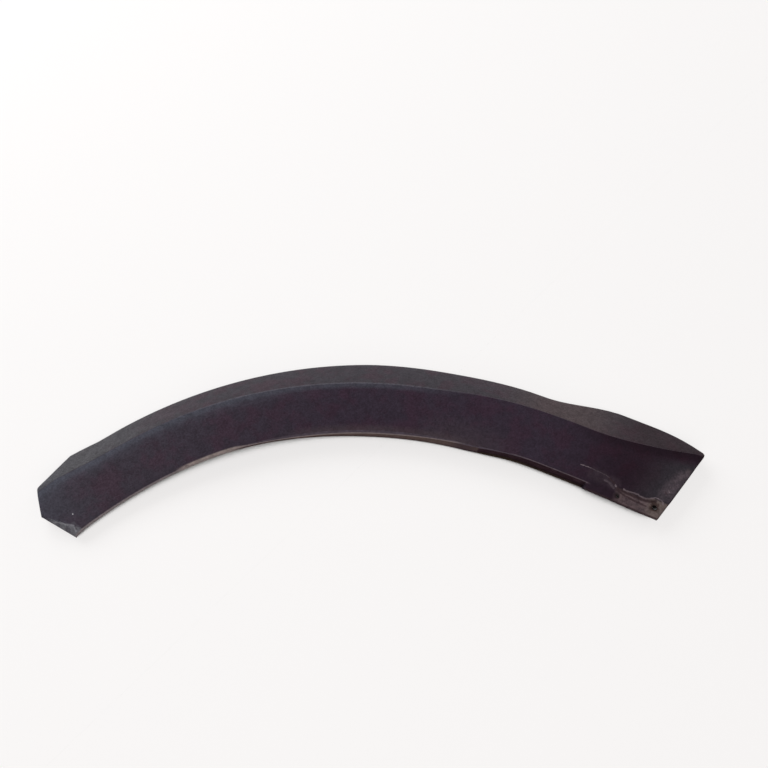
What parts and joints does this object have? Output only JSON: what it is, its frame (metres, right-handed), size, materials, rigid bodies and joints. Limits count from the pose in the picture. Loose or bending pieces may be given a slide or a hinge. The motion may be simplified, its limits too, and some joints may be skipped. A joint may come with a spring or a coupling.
{
  "type": "fender trim",
  "caption": "Wheel-arch fender trim: a curved moulded cladding strip with a sloping upper band, a return flange, blunt lower ends and clip seats on its back.",
  "frame": {"origin": "centre of the bounding box at the back plane, where the rim meets the body side", "axes": "+X along the vehicle, towards the end with the wide bulge; +Y up the body side; +Z outward from the vehicle. The trim lies on its back."},
  "size_m": [0.6066, 0.1682, 0.025],
  "materials": {
    "arch_trim": "grained matt black"
  },
  "bodies": {
    "root": {"arch_trim": "arch_trim"}
  },
  "joints": []
}
